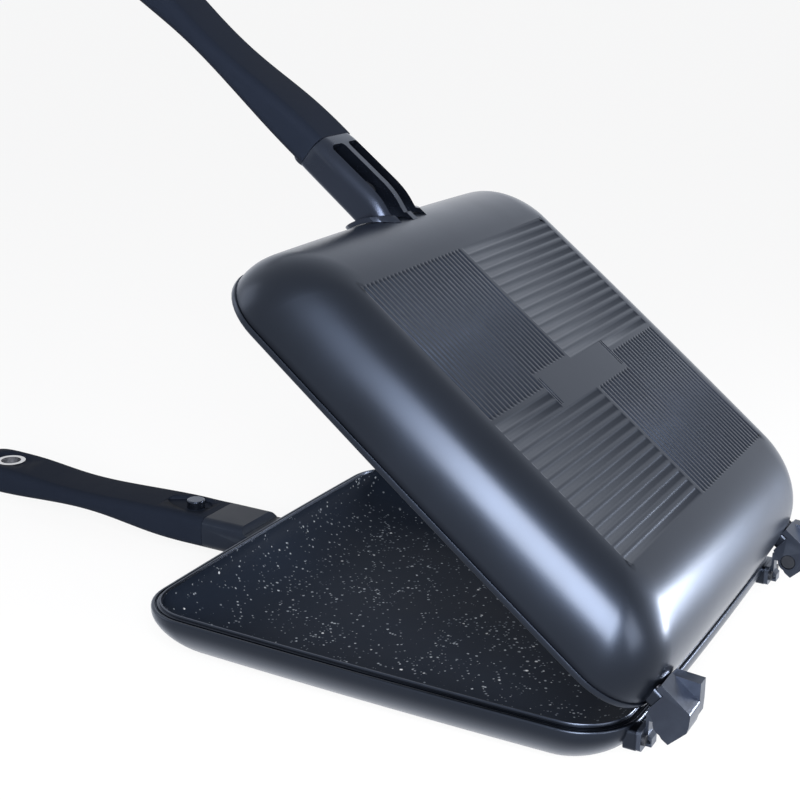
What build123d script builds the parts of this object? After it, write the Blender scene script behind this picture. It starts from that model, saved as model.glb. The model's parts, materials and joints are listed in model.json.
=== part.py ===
from build123d import *
import os
from math import cos, pi, radians, sin, sqrt

# A double-sided sandwich toaster for the stove: two die-cast pans that close rim to rim,
# hinged at one end, with a straight handle on each at the other.
# X runs from the handles to the hinge, Y along the hinge axis, Z up. The origin is the
# centre of the lower pan's flat underside. The upper half is drawn closed over the lower
# one, and its finished pieces are then swung open about the hinge pins.

# Pans
pan_length = 230.0
pan_width = 224.0
corner_radius = 25.0
face_corner_radius = 7.0
floor_corner_radius = 6.0
side_bow = 1.4
lower_depth = 23.0
upper_depth = 36.0
lower_shoulder_x = 31.0
lower_shoulder_y = 26.0
upper_shoulder_x = 38.5
upper_shoulder_y = 24.5
floor_thickness = 4.5
wall_thinning = 3.0
wall_steps = 6

# Rims: the lower one is a little smaller and carries a groove and a raised inner lip
rim_width = 5.0
rim_band = 3.0
rim_gap = 0.3
rim_rounding = 1.0
lower_rim_inset = 1.5
groove_offset = 1.5
groove_width = 1.2
groove_depth = 0.9
lip_offset = 3.6
lip_width = 1.0
lip_height = 1.2
lip_clearance = 0.5

# Faces: four fields of grooves round a plain centre plate, laid like a basket weave
panel_x = 73.5
panel_margin = 1.2
field_gap = 1.5
fine_count = 27
fine_width = 1.3
fine_depth = 0.7
broad_count = 15
broad_width = 3.8
broad_depth = 0.4
plate_x = 7.8
plate_y = 34.0
plate_shift = 1.5
plate_line_width = 0.6
plate_line_pitch = 1.6

# Opening
rest_opening = 38.0

# Hinge: a block on the upper pan straddles an eyed lug on the lower one, on each side
hinge_reach = 8.8
hinge_rise = 3.0
hinge_inset = 25.2
pad_thickness = 0.3
pad_margin = 1.0
pad_round = 2.0
pin_diameter = 4.0
pin_clearance = 0.1
pin_head_diameter = 6.2
pin_head_height = 0.8
pin_recess_depth = 1.2
pin_recess_clearance = 0.4
block_width = 12.0
inner_cheek = 2.8
outer_cheek = 2.6
blind_skin = 0.9
block_top = 12.5
block_top_thickness = 3.0
block_bottom = 2.5
block_reach = 7.2
block_nose_start = 0.3
block_nose_drop = 1.6
block_tip_drop = 3.4
block_tip_reach = 4.6
block_tip_slope = 0.3
block_mouth_reach = 2.2
cheek_round = 4.7
cheek_heel_x = 4.4
cheek_heel_drop = 2.6
block_base_thickness = 1.8
block_base_bottom = 8.0
fin_thickness = 5.8
fin_height = 19.0
fin_end_setback = 1.0
fin_crown_start = 2.3
fin_crown_end = 4.1
fin_crown_end_rise = 0.5
lug_side_clearance = 0.5
lug_eye_radius = 3.4
lug_neck_drop = 1.5
lug_riser = 1.2
lug_shoulder = 1.0
lug_flange_thickness = 1.8
lug_flange_width = 15.0
lug_flange_height = 9.0
lug_flange_drop = 1.2
lug_tab_reach = 2.8
lug_tab_hole = 1.6

# Fasteners
block_screw_diameter = 3.0
block_screw_head_diameter = 5.6
block_screw_head_height = 1.4
block_screw_grip = 3.8
block_screw_height = 10.4
lug_screw_diameter = 2.5
lug_screw_head_diameter = 4.2
lug_screw_head_height = 1.2
lug_screw_grip = 3.0
bracket_screw_diameter = 4.0
bracket_screw_head_diameter = 7.0
bracket_screw_head_height = 2.4
bracket_screw_grip = 4.0
screw_clearance = 0.1

# Handle brackets: each takes a tongue cast on its pan, and two channels open outwards
handle_width = 30.0
handle_thickness = 16.0
handle_corner_radius = 4.5
lower_handle_face = 2.5
upper_handle_face = 16.0
lower_bracket_reach = 26.5
upper_bracket_reach = 34.5
rim_relief = 1.0
foot_width = 36.0
foot_thickness = 2.0
foot_overhang = 8.0
seat_gap = 0.15
tongue_width = 24.0
tongue_height = 5.0
tongue_reach = 12.0
tongue_depth = 4.0
tongue_clearance = 0.15
tongue_round = 1.0
channel_half_width = 11.6
channel_rib = 3.6
channel_floor = 3.5
channel_cover = 1.6
channel_collar = 5.0
channel_corner = 2.0
lower_channel_run_in = 1.0
upper_channel_run_in = 12.0
tang_width = 16.0
tang_height = 7.0
tang_length = 8.0
tang_clearance = 0.2

# Grips: thick at the bracket, slim at the waist and swelling to a round end
joint_gap = 0.3
grip_plateau_reach = 43.0
grip_waist_reach = 107.0
grip_swell_reach = 165.0
grip_end_reach = 190.0
grip_end_round = 15.0
waist_width = 29.0
waist_thickness = 9.6
waist_lift = 1.7
swell_width = 31.0
swell_thickness = 14.6
swell_lift = -1.5
bolt_line_depth = 6.9
bolt_diameter = 5.0
bolt_clearance = 0.3
bolt_head_diameter = 8.0
bolt_head_height = 4.0
bolt_seat_setback = 14.5
bolt_thread_length = 7.0
eyelet_setback = 26.5
eyelet_diameter = 13.0
eyelet_wall = 1.2
eyelet_lip_width = 1.2
eyelet_lip_height = 0.6
eyelet_clearance = 0.1
dish_length = 27.0
dish_width = 19.0
dish_depth = 1.1
dish_slope = 1.5

# Magnet posts, which meet between the two handles
post_reach = 40.5
post_diameter = 9.0
post_clearance = 0.15
lower_post_height = 4.0
post_gap = 0.5
post_seat_depth = 2.0
post_edge_round = 0.6
post_cap = 0.8
magnet_diameter = 6.0
magnet_height = 3.0
magnet_clearance = 0.1
recess_front = 8.5
recess_back = 18.0
recess_half_width = 8.0
recess_depth = 1.0

# Places worked out from the sizes above
rim_z = lower_depth
upper_rim_z = rim_z + rim_gap
handle_end_x = -pan_length / 2
hinge_x = pan_length / 2 + hinge_reach
hinge_z = rim_z + hinge_rise
hinge_centre_y = pan_width / 2 - hinge_inset
hinge_axis = Axis((hinge_x, 0, hinge_z), (0, 1, 0))
lower_length = pan_length - 2 * lower_rim_inset
lower_width = pan_width - 2 * lower_rim_inset
lower_pad_x = lower_length / 2 + pad_thickness
upper_pad_x = pan_length / 2 + pad_thickness
lower_face_z = rim_z + lower_handle_face
upper_face_z = rim_z + upper_handle_face
lug_width = block_width - inner_cheek - outer_cheek - 2 * lug_side_clearance
lug_face_x = lower_pad_x + lug_flange_thickness
flange_top_z = rim_z - lug_flange_drop
flange_z = flange_top_z - lug_flange_height / 2
block_screw_z = upper_rim_z + block_screw_height
block_screw_seat_x = upper_pad_x - block_screw_grip - rim_width + wall_thinning
lower_joint_x = handle_end_x - lower_bracket_reach
upper_joint_x = handle_end_x - upper_bracket_reach
grip_plateau_x = handle_end_x - grip_plateau_reach
grip_waist_x = handle_end_x - grip_waist_reach
grip_swell_x = handle_end_x - grip_swell_reach
grip_end_x = handle_end_x - grip_end_reach
eyelet_x = grip_end_x + eyelet_setback
bolt_seat_x = eyelet_x + bolt_seat_setback
post_x = handle_end_x - post_reach
handle_screw_y = channel_half_width + channel_rib / 2

# The two halves, as way up from the rim, length, width, rim height, depth and shoulders
lower = (-1, lower_length, lower_width, rim_z, lower_depth, lower_shoulder_x, lower_shoulder_y)
upper = (1, pan_length, pan_width, upper_rim_z, upper_depth, upper_shoulder_x, upper_shoulder_y)

os.makedirs("parts", exist_ok=True)
pieces = {}


def level(length, width, radius, height):
    """One level of a pan: a rectangle with gently bowed sides and round corners."""
    x, y = length / 2, width / 2
    with BuildSketch(Plane.XY.offset(height)) as outline:
        with BuildLine():
            ThreePointArc((side_bow - x, side_bow - y), (0, -y), (x - side_bow, side_bow - y))
            ThreePointArc((x - side_bow, side_bow - y), (x, 0), (x - side_bow, y - side_bow))
            ThreePointArc((x - side_bow, y - side_bow), (0, y), (side_bow - x, y - side_bow))
            ThreePointArc((side_bow - x, y - side_bow), (-x, 0), (side_bow - x, side_bow - y))
        make_face()
        fillet(outline.vertices(), radius)
    return outline.sketch


def outer_levels(half, margin=0.0):
    """Levels of a pan's wall from its rim band to its face, along a quarter of an ellipse.

    A margin makes the form larger all round.
    """
    way, length, width, rim, depth, shoulder_x, shoulder_y = half
    levels = []
    for step in range(wall_steps + 1):
        angle = radians(90 * step / wall_steps)
        share = 1 - cos(angle)
        levels.append(
            level(
                length + 2 * margin - 2 * shoulder_x * share,
                width + 2 * margin - 2 * shoulder_y * share,
                corner_radius + (face_corner_radius - corner_radius) * share + margin,
                rim + way * (rim_band + (depth - rim_band + margin) * sin(angle)),
            )
        )
    return levels


def outer_form(half, margin):
    """The solid outside form of a pan, rim band and all, larger all round by a margin."""
    way, length, width, rim = half[:4]
    band_level = level(length + 2 * margin, width + 2 * margin, corner_radius + margin, rim)
    with BuildPart() as form:
        extrude(band_level, amount=way * rim_band)
        loft(sections=outer_levels(half, margin))
    return form.part


def inner_levels(half):
    """Levels of the hollow inside a pan, which leave its rim, wall and floor."""
    way, length, width, rim, depth, shoulder_x, shoulder_y = half
    levels = []
    for step in range(wall_steps + 1):
        angle = radians(90 * step / wall_steps)
        share = 1 - cos(angle)
        levels.append(
            level(
                length - 2 * rim_width - 2 * (shoulder_x - wall_thinning) * share,
                width - 2 * rim_width - 2 * (shoulder_y - wall_thinning) * share,
                corner_radius - rim_width + (floor_corner_radius - corner_radius + rim_width) * share,
                rim + way * (depth - floor_thickness) * sin(angle),
            )
        )
    return levels


def rim_ring(half, outside, inside, start, height):
    """A band between two offsets inward from a rim, from a start height along Z."""
    length, width = half[1], half[2]
    outer = level(length - 2 * outside, width - 2 * outside, corner_radius - outside, start)
    inner = level(length - 2 * inside, width - 2 * inside, corner_radius - inside, start)
    ring = extrude(outer, amount=height, mode=Mode.PRIVATE)
    return ring - extrude(inner, amount=height, mode=Mode.PRIVATE)


def across(x, z):
    """A plane square to the handles, facing the handle end, centred at x and z."""
    return Plane(origin=(x, 0, z), x_dir=(0, -1, 0), z_dir=(-1, 0, 0))


def face_plane(z, way):
    """A level plane at z that faces the outside of the half that extends along way."""
    return Plane(origin=(0, 0, z), x_dir=(1, 0, 0), z_dir=(0, 0, way))


def block_screw_places(side):
    """The two screws of a hinge block on the pan's side: one in its fin, one in its top plate."""
    centre = side * hinge_centre_y
    in_fin = centre + block_width / 2 + fin_thickness / 2
    in_plate = centre - block_width / 4
    return Locations((in_fin, block_screw_z), (in_plate, block_screw_z))


def lug_screw_places():
    """The four screws of the two hinge lugs, one on each side of each lug."""
    step = (lug_width + lug_screw_head_diameter) / 2
    places = [(side * hinge_centre_y + way * step, flange_z) for side in (-1, 1) for way in (-1, 1)]
    return Locations(*places)


def groove_places(half):
    """Fine and broad grooves of a pan's face, as lists of places by length along X and Y.

    Fine ones run along X in two opposite quarters and broad ones along Y in the other two.
    Those beside the centre plate stop short of it.
    """
    panel_y = half[2] / 2 - half[6] - panel_margin
    edge = field_gap / 2
    fine_pitch = (panel_y - edge) / fine_count
    broad_pitch = (panel_x - edge) / broad_count
    fine, broad = {}, {}
    for quarter in (-1, 1):
        for n in range(fine_count):
            y = edge + (n + 0.5) * fine_pitch
            start = plate_x + quarter * plate_shift + field_gap if y < plate_y + edge else edge
            size = (panel_x - start, fine_width)
            fine.setdefault(size, []).append((quarter * (panel_x + start) / 2, quarter * y))
        for n in range(broad_count):
            x = edge + (n + 0.5) * broad_pitch
            beside = x < plate_x - quarter * plate_shift + edge
            start = plate_y + field_gap if beside else edge
            size = (broad_width, panel_y - start)
            broad.setdefault(size, []).append((-quarter * x, quarter * (panel_y + start) / 2))
    return fine, broad


def cut_face(half, face_z):
    """Cuts the grooves and the centre plate's end lines into the face of the open part."""
    way = half[0]
    fine, broad = groove_places(half)
    line_y = [end * (plate_y + line * plate_line_pitch) for end in (-1, 1) for line in (-1, 0)]
    lines = {(2 * plate_x, plate_line_width): [(plate_shift, y) for y in line_y]}
    for group, depth in ((fine, fine_depth), (broad, broad_depth), (lines, broad_depth)):
        with BuildSketch(face_plane(face_z, way)) as cuts:
            for (length, width), places in group.items():
                with Locations(*places):
                    Rectangle(length, width)
        extrude(cuts.sketch, amount=-depth, mode=Mode.SUBTRACT)


def tongue_centre(face_z, way):
    """Height of the middle of a pan's tongue."""
    return face_z + way * (tongue_depth + tongue_height / 2)


# Lower pan: a shallow dish with a grooved rim, a raised lip and a tongue for its handle
with BuildPart() as lower_pan:
    extrude(level(lower_length, lower_width, corner_radius, rim_z - rim_band), amount=rim_band)
    fillet(lower_pan.edges().group_by(Axis.Z)[-1], rim_rounding)
    loft(sections=outer_levels(lower))
    with BuildSketch(Plane.YZ.offset(lower_pad_x)):
        with Locations((-hinge_centre_y, flange_z), (hinge_centre_y, flange_z)):
            RectangleRounded(lug_flange_width + pad_margin, lug_flange_height, pad_round)
    extrude(amount=-rim_width)
    with BuildSketch(across(-lower_length / 2 - tongue_reach, tongue_centre(lower_face_z, -1))):
        RectangleRounded(tongue_width, tongue_height, tongue_round)
    extrude(amount=-rim_width - tongue_reach)
    loft(sections=inner_levels(lower), mode=Mode.SUBTRACT)
    add(rim_ring(lower, lip_offset, lip_offset + lip_width, rim_z - lip_width, lip_width + lip_height))
    add(
        rim_ring(lower, groove_offset, groove_offset + groove_width, rim_z, -groove_depth),
        mode=Mode.SUBTRACT,
    )
    cut_face(lower, rim_z - lower_depth)
    with BuildSketch(Plane.YZ.offset(lower_pad_x)):
        with lug_screw_places():
            Circle((lug_screw_diameter + screw_clearance) / 2)
    extrude(amount=-lug_screw_grip - screw_clearance, mode=Mode.SUBTRACT)
    with BuildSketch(Plane.XY.offset(lower_face_z - tongue_depth - tongue_height)):
        with Locations((-lower_length / 2 - tongue_reach / 2, 0)):
            with GridLocations(0, handle_screw_y, 1, 2):
                Circle((bracket_screw_diameter + screw_clearance) / 2)
    extrude(amount=bracket_screw_grip + screw_clearance, mode=Mode.SUBTRACT)
pieces["lower_pan"] = lower_pan

# Upper pan: the same form the other way up, deeper, with a rebate that clears the lower lip
with BuildPart() as upper_pan:
    extrude(level(pan_length, pan_width, corner_radius, upper_rim_z), amount=rim_band)
    fillet(upper_pan.edges().group_by(Axis.Z)[0], rim_rounding)
    loft(sections=outer_levels(upper))
    pad_height = block_top - rim_band + 2 * pad_margin
    pad_z = upper_rim_z + rim_band + pad_height / 2
    with BuildSketch(Plane.YZ.offset(upper_pad_x)):
        for side in (-1, 1):
            with Locations((side * hinge_centre_y + fin_thickness / 2, pad_z)):
                RectangleRounded(block_width + fin_thickness + 2 * pad_margin, pad_height, pad_round)
    extrude(amount=-rim_width)
    with BuildSketch(across(handle_end_x - tongue_reach, tongue_centre(upper_face_z, 1))):
        RectangleRounded(tongue_width, tongue_height, tongue_round)
    extrude(amount=-rim_width - tongue_reach - upper_shoulder_x / 4)
    loft(sections=inner_levels(upper), mode=Mode.SUBTRACT)
    rebate_offset = lower_rim_inset + lip_offset - lip_clearance
    add(
        rim_ring(upper, rebate_offset, rim_width + rim_rounding, upper_rim_z, lip_height + lip_clearance),
        mode=Mode.SUBTRACT,
    )
    cut_face(upper, upper_rim_z + upper_depth)
    for side in (-1, 1):
        with BuildSketch(Plane.YZ.offset(block_screw_seat_x)):
            with block_screw_places(side):
                Circle((block_screw_diameter + screw_clearance) / 2)
        extrude(amount=upper_pad_x - block_screw_seat_x, mode=Mode.SUBTRACT)
        with BuildSketch(Plane.YZ.offset(block_screw_seat_x)):
            with block_screw_places(side):
                Circle(block_screw_head_diameter / 2 + screw_clearance)
        extrude(amount=-rim_width, mode=Mode.SUBTRACT)
    with BuildSketch(Plane.XY.offset(upper_face_z + tongue_depth + tongue_height)):
        with Locations((handle_end_x - tongue_reach / 2, 0)):
            with GridLocations(0, handle_screw_y, 1, 2):
                Circle((bracket_screw_diameter + screw_clearance) / 2)
    extrude(amount=-bracket_screw_grip - screw_clearance, mode=Mode.SUBTRACT)
pieces["upper_pan"] = upper_pan

# Hinge lugs: a flange screwed to the lower pan's pad, a riser with a holed tab, and an eye
for side, hand in ((-1, "right"), (1, "left")):
    with BuildPart() as hinge_lug:
        with BuildSketch(Plane.YZ.offset(lower_pad_x)):
            with Locations((side * hinge_centre_y, flange_z)):
                RectangleRounded(lug_flange_width, lug_flange_height, pad_round)
            with lug_screw_places():
                Circle((lug_screw_diameter + screw_clearance) / 2, mode=Mode.SUBTRACT)
        extrude(amount=lug_flange_thickness)
        riser_x = lug_face_x + lug_riser
        tab_x = lug_face_x + lug_tab_reach
        tab_bottom = flange_top_z - lug_flange_height + lug_shoulder
        with BuildSketch(Plane.XZ.offset(-side * hinge_centre_y)):
            with BuildLine():
                Polyline(
                    (lug_face_x - lug_shoulder, tab_bottom),
                    (tab_x, tab_bottom),
                    (tab_x, flange_z),
                    (riser_x, flange_z + lug_riser),
                    (riser_x, hinge_z - lug_neck_drop),
                    (hinge_x, hinge_z - lug_neck_drop),
                    (hinge_x, hinge_z + lug_eye_radius),
                    (riser_x + lug_shoulder, hinge_z + lug_eye_radius),
                    (lug_face_x, hinge_z + lug_eye_radius / 2),
                    (lug_face_x, flange_top_z),
                    (lug_face_x - lug_shoulder, flange_top_z),
                    close=True,
                )
            make_face()
            with Locations((hinge_x, hinge_z)):
                Circle(lug_eye_radius)
                Circle((pin_diameter + pin_clearance) / 2, mode=Mode.SUBTRACT)
            with Locations((lug_face_x + lug_tab_hole, flange_z - lug_tab_hole)):
                Circle(lug_tab_hole / 2, mode=Mode.SUBTRACT)
        extrude(amount=lug_width / 2, both=True)
    pieces[f"hinge_lug_{hand}"] = hinge_lug

with BuildPart() as hinge_lug_screws:
    with BuildSketch(Plane.YZ.offset(lug_face_x)):
        with lug_screw_places():
            Circle(lug_screw_head_diameter / 2)
    extrude(amount=lug_screw_head_height)
    with BuildSketch(Plane.YZ.offset(lug_face_x)):
        with lug_screw_places():
            Circle(lug_screw_diameter / 2)
    extrude(amount=-lug_flange_thickness - lug_screw_grip)
pieces["hinge_lug_screws"] = hinge_lug_screws

# Hinge blocks: channels with a closed outer cheek, an end wall that curls down past the pin
# and a fin on the same hand of both
for side, hand in ((-1, "right"), (1, "left")):
    low_y = side * hinge_centre_y - block_width / 2
    inboard_y = side * (hinge_centre_y - block_width / 2)
    top_z = rim_z + block_top
    under_z = top_z - block_top_thickness
    base_z = rim_z + block_base_bottom
    tip_z = rim_z - block_tip_drop
    nose_x = hinge_x - block_nose_start
    nose_z = hinge_z - block_nose_drop
    end_x = hinge_x + block_reach - fin_end_setback
    base_x = upper_pad_x + block_base_thickness
    heel = (hinge_x - cheek_heel_x, hinge_z - cheek_heel_drop)
    mouth = (hinge_x + block_mouth_reach, tip_z + block_tip_slope)
    with BuildPart() as hinge_block:
        with BuildSketch(Plane.XZ.offset(-low_y)):
            with BuildLine():
                Polyline(heel, (upper_pad_x, rim_z + block_bottom), (upper_pad_x, top_z), (nose_x, top_z))
                TangentArc((nose_x, top_z), (hinge_x + block_reach, nose_z), tangent=(1, 0))
                Polyline((hinge_x + block_reach, nose_z), (hinge_x + block_tip_reach, tip_z), mouth)
                ThreePointArc(mouth, (hinge_x - block_tip_slope, hinge_z - cheek_round), heel)
            make_face()
        extrude(amount=-block_width)
        with BuildSketch(Plane.XZ.offset(-low_y - block_width)):
            with BuildLine():
                Polyline(
                    (upper_pad_x, top_z - fin_end_setback),
                    (upper_pad_x, base_z),
                    (end_x, base_z),
                    (hinge_x + fin_crown_end, top_z + fin_crown_end_rise),
                    (hinge_x - fin_crown_start, rim_z + fin_height),
                    close=True,
                )
            make_face()
        extrude(amount=-fin_thickness)
        cheek = inner_cheek if side > 0 else outer_cheek
        with BuildSketch(Plane.XZ.offset(-low_y - cheek)):
            with BuildLine():
                Polyline(
                    (mouth[0], tip_z - block_tip_drop),
                    (base_x - rim_width, tip_z - block_tip_drop),
                    (base_x - rim_width, base_z),
                    (base_x, base_z),
                    (base_x + block_top_thickness, under_z),
                    (nose_x, under_z),
                )
                TangentArc((nose_x, under_z), (hinge_x + block_tip_reach, nose_z), tangent=(1, 0))
                Line((hinge_x + block_tip_reach, nose_z), (mouth[0], tip_z - block_tip_drop))
            make_face()
        extrude(amount=-(block_width - inner_cheek - outer_cheek), mode=Mode.SUBTRACT)
        with BuildSketch(Plane.XZ.offset(-inboard_y)):
            with Locations((hinge_x, hinge_z)):
                Circle((pin_diameter + pin_clearance) / 2)
        extrude(amount=-side * (block_width - blind_skin), mode=Mode.SUBTRACT)
        with BuildSketch(Plane.XZ.offset(-inboard_y)):
            with Locations((hinge_x, hinge_z)):
                Circle(pin_head_diameter / 2 + pin_recess_clearance)
        extrude(amount=-side * pin_recess_depth, mode=Mode.SUBTRACT)
        with BuildSketch(Plane.YZ.offset(upper_pad_x)):
            with block_screw_places(side):
                Circle((block_screw_diameter + screw_clearance) / 2)
        extrude(amount=block_screw_grip + screw_clearance, mode=Mode.SUBTRACT)
    pieces[f"hinge_block_{hand}"] = hinge_block

    # A pin fixed in each block turns in the lug's eye, with its head in the inner cheek
    head_y = inboard_y + side * (pin_recess_depth - pin_head_height)
    with BuildPart() as hinge_pin:
        with BuildSketch(Plane.XZ.offset(-head_y)):
            with Locations((hinge_x, hinge_z)):
                Circle(pin_head_diameter / 2)
        extrude(amount=-side * pin_head_height)
        with BuildSketch(Plane.XZ.offset(-head_y)):
            with Locations((hinge_x, hinge_z)):
                Circle(pin_diameter / 2)
        extrude(amount=-side * (block_width - blind_skin - pin_recess_depth + pin_head_height))
    pieces[f"hinge_pin_{hand}"] = hinge_pin

with BuildPart() as hinge_block_screws:
    for side in (-1, 1):
        with BuildSketch(Plane.YZ.offset(block_screw_seat_x)):
            with block_screw_places(side):
                Circle(block_screw_head_diameter / 2)
        extrude(amount=-block_screw_head_height)
        with BuildSketch(Plane.YZ.offset(block_screw_seat_x)):
            with block_screw_places(side):
                Circle(block_screw_diameter / 2)
        extrude(amount=upper_pad_x - block_screw_seat_x + block_screw_grip)
pieces["hinge_block_screws"] = hinge_block_screws


def grip_section(x, joint_x):
    """Width, thickness and lift of a grip at x, eased between its joint, waist and swell."""
    if x > grip_plateau_x:
        return handle_width, handle_thickness, 0.0
    if x > grip_waist_x:
        share = (grip_plateau_x - x) / (grip_plateau_x - grip_waist_x)
        start = (handle_width, handle_thickness, 0.0)
        end = (waist_width, waist_thickness, waist_lift)
    else:
        share = min((grip_waist_x - x) / (grip_waist_x - grip_swell_x), 1)
        start = (waist_width, waist_thickness, waist_lift)
        end = (swell_width, swell_thickness, swell_lift)
    ease = (1 - cos(pi * share)) / 2
    return tuple(a + (b - a) * ease for a, b in zip(start, end))


# The handle on each half: bracket, grip and what holds and fits them. The face is the side
# towards the other handle, and way points from it to the outside.
upper_post_height = upper_face_z - lower_face_z + 2 * recess_depth - lower_post_height - post_gap
for half, face_z, joint_x, channel_run_in, way, post_height in (
    ("lower", lower_face_z, lower_joint_x, lower_channel_run_in, -1, lower_post_height),
    ("upper", upper_face_z, upper_joint_x, upper_channel_run_in, 1, upper_post_height),
):
    pan = lower if half == "lower" else upper
    rim_x = -pan[1] / 2
    outside_z = face_z + way * handle_thickness
    tongue_z = tongue_centre(face_z, way)
    tip_x = rim_x - tongue_reach
    bolt_z = face_z + way * bolt_line_depth
    channel_end = handle_end_x + channel_run_in
    channel_width = channel_half_width - channel_rib / 2
    cover_z = face_z + way * (tongue_depth + tongue_height + tongue_clearance + channel_cover)

    # Bracket: a block that hugs the pan's wall with a thin foot, over the pan's tongue
    with BuildPart() as bracket:
        with BuildSketch(Plane.XZ):
            with BuildLine():
                if half == "lower":
                    near_rim = [
                        (joint_x, face_z),
                        (rim_x - 3 * rim_relief - lower_handle_face, face_z),
                        (rim_x - 3 * rim_relief, rim_z - rim_relief),
                        (rim_x + wall_thinning, rim_z - rim_relief),
                    ]
                else:
                    near_rim = [(joint_x, face_z), (rim_x + upper_shoulder_x, face_z)]
                Polyline(
                    *near_rim,
                    (near_rim[-1][0] + wall_thinning, outside_z),
                    (joint_x, outside_z),
                    close=True,
                )
            make_face()
        extrude(amount=handle_width / 2, both=True)
        long_edges = bracket.edges().filter_by(Axis.X).group_by(Axis.Z)
        fillet(long_edges[0] + long_edges[-1], handle_corner_radius)
        foot_start = face_z - way * foot_overhang if half == "upper" else rim_z - rim_band
        foot_end = outside_z - foot_thickness if half == "upper" else outside_z + way * foot_overhang
        foot_z = (foot_start + foot_end) / 2
        with BuildSketch(across(rim_x - foot_thickness - 1, foot_z)):
            RectangleRounded(foot_width, abs(foot_end - foot_start), foot_width / 4)
        foot = extrude(amount=-upper_shoulder_x, mode=Mode.PRIVATE)
        add(foot & outer_form(pan, foot_thickness + seat_gap))
        add(outer_form(pan, seat_gap), mode=Mode.SUBTRACT)
        with BuildSketch(across(tip_x - tongue_clearance, tongue_z)):
            RectangleRounded(
                tongue_width + 2 * tongue_clearance, tongue_height + 2 * tongue_clearance, tongue_round
            )
        extrude(amount=-tongue_reach - upper_shoulder_x, mode=Mode.SUBTRACT)
        deep_start = joint_x + channel_collar
        deep_end = tip_x - channel_floor
        with BuildSketch(face_plane(outside_z, way)):
            with Locations(((deep_start + deep_end) / 2, 0)):
                with GridLocations(0, handle_screw_y, 1, 2):
                    RectangleRounded(deep_end - deep_start, channel_width, channel_corner)
        extrude(amount=-(handle_thickness - channel_floor), mode=Mode.SUBTRACT)
        with BuildSketch(face_plane(outside_z, way)):
            with Locations(((deep_start + channel_end) / 2, 0)):
                with GridLocations(0, handle_screw_y, 1, 2):
                    RectangleRounded(channel_end - deep_start, channel_width, channel_corner)
        extrude(amount=-abs(outside_z - cover_z), mode=Mode.SUBTRACT)
        with BuildSketch(face_plane(outside_z, way)):
            with Locations((rim_x - tongue_reach / 2, 0)):
                with GridLocations(0, handle_screw_y, 1, 2):
                    Circle((bracket_screw_diameter + screw_clearance) / 2)
        extrude(amount=-abs(outside_z - cover_z) - channel_cover - 1, mode=Mode.SUBTRACT)
        with BuildSketch(across(joint_x, bolt_z)):
            RectangleRounded(tang_width, tang_height, tongue_round)
        extrude(amount=tang_length)
        with BuildSketch(across(joint_x - tang_length, bolt_z)):
            Circle((bolt_diameter + screw_clearance) / 2)
        extrude(amount=-bolt_thread_length - bolt_clearance, mode=Mode.SUBTRACT)
    pieces[f"{half}_bracket"] = bracket

    with BuildPart() as bracket_screws:
        with BuildSketch(face_plane(cover_z, way)):
            with Locations((rim_x - tongue_reach / 2, 0)):
                with GridLocations(0, handle_screw_y, 1, 2):
                    Circle(bracket_screw_head_diameter / 2)
        extrude(amount=bracket_screw_head_height)
        with BuildSketch(face_plane(cover_z, way)):
            with Locations((rim_x - tongue_reach / 2, 0)):
                with GridLocations(0, handle_screw_y, 1, 2):
                    Circle(bracket_screw_diameter / 2)
        extrude(amount=-channel_cover - tongue_clearance - bracket_screw_grip)
    pieces[f"{half}_bracket_screws"] = bracket_screws

    # Grip: lofted through rounded sections, with a round end
    stations = [joint_x - joint_gap, grip_plateau_x]
    stations += [grip_plateau_x + (grip_waist_x - grip_plateau_x) * n / 4 for n in range(1, 5)]
    stations += [grip_waist_x + (grip_swell_x - grip_waist_x) * n / 4 for n in range(1, 5)]
    sections = []
    for x in stations:
        width, thickness, lift = grip_section(x, joint_x)
        with BuildSketch(across(x, face_z + way * (lift + thickness / 2))) as section:
            RectangleRounded(width, thickness, handle_corner_radius)
        sections.append(section.sketch)
    for n in range(6):
        angle = radians(16 * n)
        x = grip_end_x + grip_end_round * (1 - sin(angle))
        flat = cos(angle)
        thin = sqrt(flat)
        with BuildSketch(across(x, face_z + way * (swell_lift + swell_thickness / 2))) as section:
            RectangleRounded(
                swell_width * flat,
                swell_thickness * thin,
                min(handle_corner_radius, swell_width * flat * 0.45, swell_thickness * thin * 0.45),
            )
        sections.append(section.sketch)
    swell_face = face_z + way * swell_lift
    with BuildPart() as grip:
        loft(sections=sections)
        with BuildSketch(across(joint_x, bolt_z)):
            RectangleRounded(
                tang_width + 2 * tang_clearance, tang_height + 2 * tang_clearance, tongue_round
            )
        extrude(amount=tang_length + tang_clearance, mode=Mode.SUBTRACT)
        with BuildSketch(across(joint_x, bolt_z)):
            Circle((bolt_diameter + bolt_clearance) / 2)
        extrude(amount=joint_x - eyelet_x, mode=Mode.SUBTRACT)
        with BuildSketch(across(bolt_seat_x, bolt_z)):
            Circle((bolt_head_diameter + bolt_clearance) / 2)
        extrude(amount=bolt_seat_x - eyelet_x, mode=Mode.SUBTRACT)
        with BuildSketch(face_plane(swell_face - way * 2, way)):
            with Locations((eyelet_x, 0)):
                Circle((eyelet_diameter + eyelet_clearance) / 2)
        extrude(amount=swell_thickness + 4, mode=Mode.SUBTRACT)
        for dish_z, out in ((swell_face, -way), (swell_face + way * swell_thickness, way)):
            with BuildSketch(face_plane(dish_z + out * dish_depth, out)) as dish_mouth:
                with Locations((eyelet_x, 0)):
                    Ellipse(dish_length / 2 + dish_slope, dish_width / 2 + dish_slope)
            with BuildSketch(face_plane(dish_z - out * dish_depth, out)) as dish_floor:
                with Locations((eyelet_x, 0)):
                    Ellipse(dish_length / 2 - dish_slope, dish_width / 2 - dish_slope)
            loft(sections=[dish_mouth.sketch, dish_floor.sketch], mode=Mode.SUBTRACT)
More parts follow.
